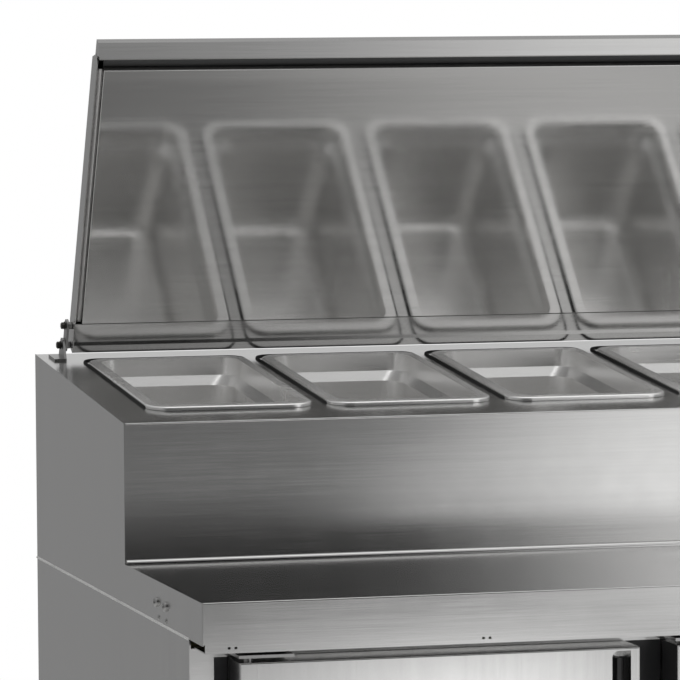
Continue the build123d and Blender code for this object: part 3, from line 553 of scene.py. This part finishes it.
def door_seal(door):
    gasket = f"door_{door}_gasket"
    low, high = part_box(gasket)
    places = ((low.x, low.z), (high.x, low.z), (high.x, high.z), (low.x, high.z))
    corners = [Vector((x, low.y, z)) for x, z in places]
    section = [(a, share * (high.y - low.y)) for a, share in SEAL_SECTION]
    seal = Shape()
    seal.frame_sweep(corners, Vector((0, 1, 0)), section)
    seal.piece(f"door_{door}_seal", f"door_{door}", "gasket_rubber", gasket, smooth=50)


# The lid seal's section, as shares of its width up the lid and of its height above the groove
STRIP_SECTION = [(0.0, 0.0), (0.0, 0.35), (0.12, 0.72), (0.32, 0.95), (0.5, 1.0)]
STRIP_SECTION += [(0.68, 0.95), (0.88, 0.72), (1.0, 0.35), (1.0, 0.0)]
STRIP_START, STRIP_WIDTH = 0.3354, 0.0118
STRIP_BASE, STRIP_HEIGHT = -0.0015, 0.0036
STRIP_STATIONS = (-0.8562, -0.4, 0.0, 0.4, 0.8562)


def lid_seal():
    """A rounded dark strip along the groove at the lid's front edge."""
    rubber = coated("lid_seal_rubber", (0.07, 0.07, 0.071), 0.55, 700, 0.15, 0.1)
    places = [(STRIP_START + STRIP_WIDTH * a, STRIP_BASE + STRIP_HEIGHT * b) for a, b in STRIP_SECTION]
    seal = Shape()
    seal.skin([[lid_point(x, up, through) for up, through in places] for x in STRIP_STATIONS])
    seal.piece("lid_seal", "lid", "gasket_rubber", "lid_gasket", paint=rubber, smooth=50)


# The side channels' folded section, as (distance from the middle of the lid, depth through it)
FOLD = [(0.8647, 0.0030), (0.8647, 0.0062), (0.8632, 0.0070), (0.8616, 0.0058)]
FOLD += [(0.8600, 0.0050), (0.8582, 0.0060), (0.8573, 0.0072), (0.8573, 0.0030)]
FOLD_STATIONS = (0.0310, 0.18, 0.3350)


def lid_side_channels():
    """Folded channels down the lid's sides, between its flange and the liner."""
    channels = Shape()
    for side in SIDES:
        channels.skin([[lid_point(side * x, up, through) for x, through in FOLD] for up in FOLD_STATIONS])
    channels.piece("lid_side_channels", "lid", "inner_stainless", smooth=60)


# Fan rotors: (radius, height) of the hub, and the blades' shape from root to tip
HUB = [(0.0033, 0.0), (0.0165, 0.0), (0.0178, 0.0012), (0.0180, 0.013)]
HUB += [(0.0170, 0.016), (0.0140, 0.0176), (0.0080, 0.018), (0.0033, 0.018)]
BLADE_COUNT, BLADE_STATIONS, CHORD_POINTS = 5, 15, 13
BLADE_ROOT, TIP_GAP = 0.0165, 0.0175
ROOT_PITCH, PITCH_LOSS = 29, 9
BLADE_MIDDLE, CAMBER, HALF_THICK = 0.009, 0.0015, 0.0009
TIP_START = 0.85


def blade_chord(radius, s):
    """Half the blade's width at share s of its length, with a rounded tip."""
    chord = 0.27 * radius * (0.55 + 0.45 * math.sin(math.pi * (0.15 + 0.68 * s)))
    if s > TIP_START:
        chord *= math.sqrt(max(0.05, 1 - ((s - TIP_START) / 0.155) ** 2 * 0.75))
    return chord


def blade_section(radius, angle, s):
    """A closed ring of points round the blade at share s of its length."""
    out = Vector((math.cos(angle), math.sin(angle), 0))
    along = Vector((-math.sin(angle), math.cos(angle), 0))
    reach = BLADE_ROOT + (radius - TIP_GAP) * s
    pitch = math.radians(ROOT_PITCH - PITCH_LOSS * s)
    chord = blade_chord(radius, s)
    upper, lower = [], []
    for j in range(CHORD_POINTS):
        t = -1 + 2 * j / (CHORD_POINTS - 1)
        away = math.sqrt(max(reach**2 - (chord * t) ** 2, 0.25 * reach**2))
        rise = BLADE_MIDDLE + (chord * t * math.sin(pitch) + CAMBER * (1 - t * t))
        place = out * away + along * (chord * t * math.cos(pitch)) + Vector((0, 0, rise))
        half = Vector((0, 0, HALF_THICK * (1 - 0.55 * t * t)))
        upper.append(place + half)
        lower.append(place - half)
    return upper + lower[::-1]


def fan_rotor(name, start, axis, radius, body, node):
    """A moulded rotor: a domed, bored hub and five cambered, tapering blades."""
    rotor = Shape()
    rotor.turn(start, axis, HUB, 40, bored=True)
    for blade in range(BLADE_COUNT):
        angle = 2 * math.pi * blade / BLADE_COUNT
        rings = []
        for i in range(BLADE_STATIONS):
            section = blade_section(radius, angle, i / (BLADE_STATIONS - 1))
            rings.append([Vector(start) + facing(axis) @ p for p in section])
        rotor.skin(rings)
    rotor.piece(name, body, "fan_plastic", node, smooth=50)


# Black strips of painted shade on the front frame, where the posts and the top rail lie in shadow beside and
# above the doors, as their spans in X and Z in millimetres
SHADE_STRIP_UPRIGHT_MM = (166, 838)
SHADE_STRIP_SPANS_MM = [((24.0, 37.3), SHADE_STRIP_UPRIGHT_MM)]
SHADE_STRIP_SPANS_MM += [((DOOR_PITCH_MM * k + 0.5, DOOR_PITCH_MM * k + 37.0), SHADE_STRIP_UPRIGHT_MM) for k in (1, 2)]
SHADE_STRIP_SPANS_MM += [((1305.5, 1325.0), SHADE_STRIP_UPRIGHT_MM), ((24.0, 1325.0), (843.6, 847.5))]
SHADE_STRIP_Y = FRONT + 0.0549
# The strips' bevel: depth in front of the frame, and inset from the edges
SHADE_STRIP_BEVEL = ((0.0, 0.0), (0.0004, 0.0), (0.0006, 0.0004))


def frame_painted_shade():
    """Black strips of painted shade on the cabinet's front frame, between and above the doors, where the
    frame lies in shadow.
    """
    # Painted shade: these strips stand in for the shadow on the frame beside and above the doors
    shade_strip_mesh = Shape()
    for x_span, z_span in SHADE_STRIP_SPANS_MM:
        rings = []
        for depth, inset in SHADE_STRIP_BEVEL:
            left, right = from_left(x_span[0]) + inset, from_left(x_span[1]) - inset
            low, high = z_span[0] / 1000 + inset, z_span[1] / 1000 - inset
            places = ((left, low), (right, low), (right, high), (left, high))
            rings.append([Vector((x, SHADE_STRIP_Y - depth, z)) for x, z in places])
        shade_strip_mesh.skin(rings)
    shade_strip_mesh.piece("frame_painted_shade", "cabinet", "control_plastic")


# The seams' bead: how far it stands out, half its height, and its stations from the front
BEAD_OUT, BEAD_HALF = 0.0012, 0.0013
BEAD_STEPS = 8
BEAD_STATIONS = (0.0555, 0.43, 0.7995)


def side_seam_highlights():
    """A fine rounded bead along the seam between the collar's side panel and the cabinet side, in light grey
    as a painted highlight of the seam.
    """
    angles = [math.pi * i / BEAD_STEPS for i in range(BEAD_STEPS + 1)]
    seam = Shape()
    for side in SIDES:
        rings = []
        for y in BEAD_STATIONS:
            places = [(RIGHT + BEAD_OUT * math.sin(a), SEAM_Z + BEAD_HALF * math.cos(a)) for a in angles]
            rings.append([Vector((side * out, FRONT + y, z)) for out, z in places])
        seam.skin(rings)
    # The light grey coated_wire finish paints the seam's highlight
    seam.piece("side_seam_highlights", "cabinet", "coated_wire")


# The collar starts at the riser's top and rises to the back
COLLAR_SLOPE = math.radians(5.0)
RISER_FROM_FRONT_MM, RISER_HEIGHT_MM = 342, 142.6
PAN_COUNT, PAN_PITCH_MM, PAN_LEFT_MM = 9, 192, 41.5
PAN_WIDTH_MM, PAN_LENGTH_MM, PAN_CORNER_MM = 176, 325, 16.0
CORNER_STEPS = 8
# Where the shadow beads start up the slope. The pans' rims start at 66.0, so each bead stands 13.3 mm
# too far back. The value is from the first CAD and is a known fault.
SHADOW_BEAD_START_MM = 79.3
# The shadow bead's section: distance outside the rim's outline, and height above the collar
SHADOW_BEAD_SECTION_MM = ((0.3, 0.05), (0.3, 1.8), (0.9, 2.3), (1.6, 1.9), (2.1, 0.05))


def collar_point(x_mm, along_mm, above_mm):
    """A point on the collar from the left end, up its slope from the riser, and above it."""
    c, s = math.cos(COLLAR_SLOPE), math.sin(COLLAR_SLOPE)
    y = FRONT + (RISER_FROM_FRONT_MM + along_mm * c - above_mm * s) / 1000
    z = WORKTOP_Z + (RISER_HEIGHT_MM + along_mm * s + above_mm * c) / 1000
    return Vector((from_left(x_mm), y, z))


def shadow_bead_rings(left_mm):
    """The shadow bead's section at each step round the four corners of one pan."""
    near = SHADOW_BEAD_START_MM + PAN_CORNER_MM
    far = SHADOW_BEAD_START_MM + PAN_LENGTH_MM - PAN_CORNER_MM
    left, right = left_mm + PAN_CORNER_MM, left_mm + PAN_WIDTH_MM - PAN_CORNER_MM
    rings = []
    for quarter, (x, along) in enumerate(((right, near), (right, far), (left, far), (left, near))):
        for step in range(CORNER_STEPS + 1):
            a = math.pi / 2 * (quarter - 1 + step / CORNER_STEPS)
            ring = []
            for outside, above in SHADOW_BEAD_SECTION_MM:
                reach = PAN_CORNER_MM + outside
                ring.append(collar_point(x + math.cos(a) * reach, along + math.sin(a) * reach, above))
            rings.append(ring)
    return rings


def pan_rim_painted_shadows():
    """A near-black matte bead on the collar round each pan: painted shadow where the pan rims stand off the
    collar.
    """
    # Near-black, almost unreflecting paint for the painted shadow under the pan rims
    rubber = coated("painted_shadow_black", (0.03, 0.03, 0.03), 0.90, 700, 0.1, 0.1, specular=0.1)
    shadow_bead_mesh = Shape()
    for pan in range(PAN_COUNT):
        shadow_bead_mesh.skin(shadow_bead_rings(PAN_LEFT_MM + PAN_PITCH_MM * pan), closed_rows=True)
    shadow_bead_mesh.piece("pan_rim_painted_shadows", "cabinet", "gasket_rubber", paint=rubber, smooth=60)


# Display digits: half a segment's length and width, and each segment's place in its digit
SEGMENT_MM, HALF_WIDE_MM = 2.9, 0.6
FLAT_PLACES_MM = ((0, 7), (0, 0), (0, -7))
UPRIGHT_PLACES_MM = ((-3.5, 3.5), (3.5, 3.5), (-3.5, -3.5), (3.5, -3.5))
DIGIT_X_MM = (1397, 1409)
GLASS_Y, DISPLAY_Z = FRONT + 0.0058, 0.788
# The segments' bevel: depth in front of the glass, and share of the outline
SEGMENT_BEVEL = ((0.0, 1.0), (0.0003, 1.0), (0.0004, 0.92))


def segment_rings(x_mm, z_mm, outline):
    """One segment of a digit, from the glass outwards."""
    rings = []
    for depth, share in SEGMENT_BEVEL:
        ring = []
        for a, b in outline:
            z = DISPLAY_Z + (z_mm + b * share) / 1000
            ring.append(Vector((from_left(x_mm + a * share), GLASS_Y - depth, z)))
        rings.append(ring)
    return rings


def display_digits():
    """Thermostat display: two unlit seven-segment digits in the recess."""
    inner = SEGMENT_MM - HALF_WIDE_MM
    flat = [(-SEGMENT_MM, 0), (-inner, HALF_WIDE_MM), (inner, HALF_WIDE_MM)]
    flat += [(SEGMENT_MM, 0), (inner, -HALF_WIDE_MM), (-inner, -HALF_WIDE_MM)]
    upright = [(b, a) for a, b in reversed(flat)]
    digits = Shape()
    for digit_x in DIGIT_X_MM:
        for places, outline in ((FLAT_PLACES_MM, flat), (UPRIGHT_PLACES_MM, upright)):
            for dx, dz in places:
                digits.skin(segment_rings(digit_x + dx, dz, outline))
    unlit = coated("unlit_segments", (0.10, 0.022, 0.018), 0.30, 300, 0.02, 0.05)
    digits.piece("display_digits", "cabinet", "control_plastic", paint=unlit)


lid_hardware()
flank_screws()
for door in DOORS:
    door_seal(door)
lid_seal()
lid_side_channels()
condenser_start = (from_left(1532), FRONT + 0.180, 0.320)
evaporator_start = (from_left(1224), FRONT + 0.375, 0.677)
fan_rotor("condenser_blades", condenser_start, (0, 1, 0), 0.105, "condenser_rotor", "condenser_fan")
fan_rotor("evaporator_blades", evaporator_start, (-1, 0, 0), 0.084, "evaporator_rotor", "evaporator_fan")
frame_painted_shade()
side_seam_highlights()
pan_rim_painted_shadows()
display_digits()
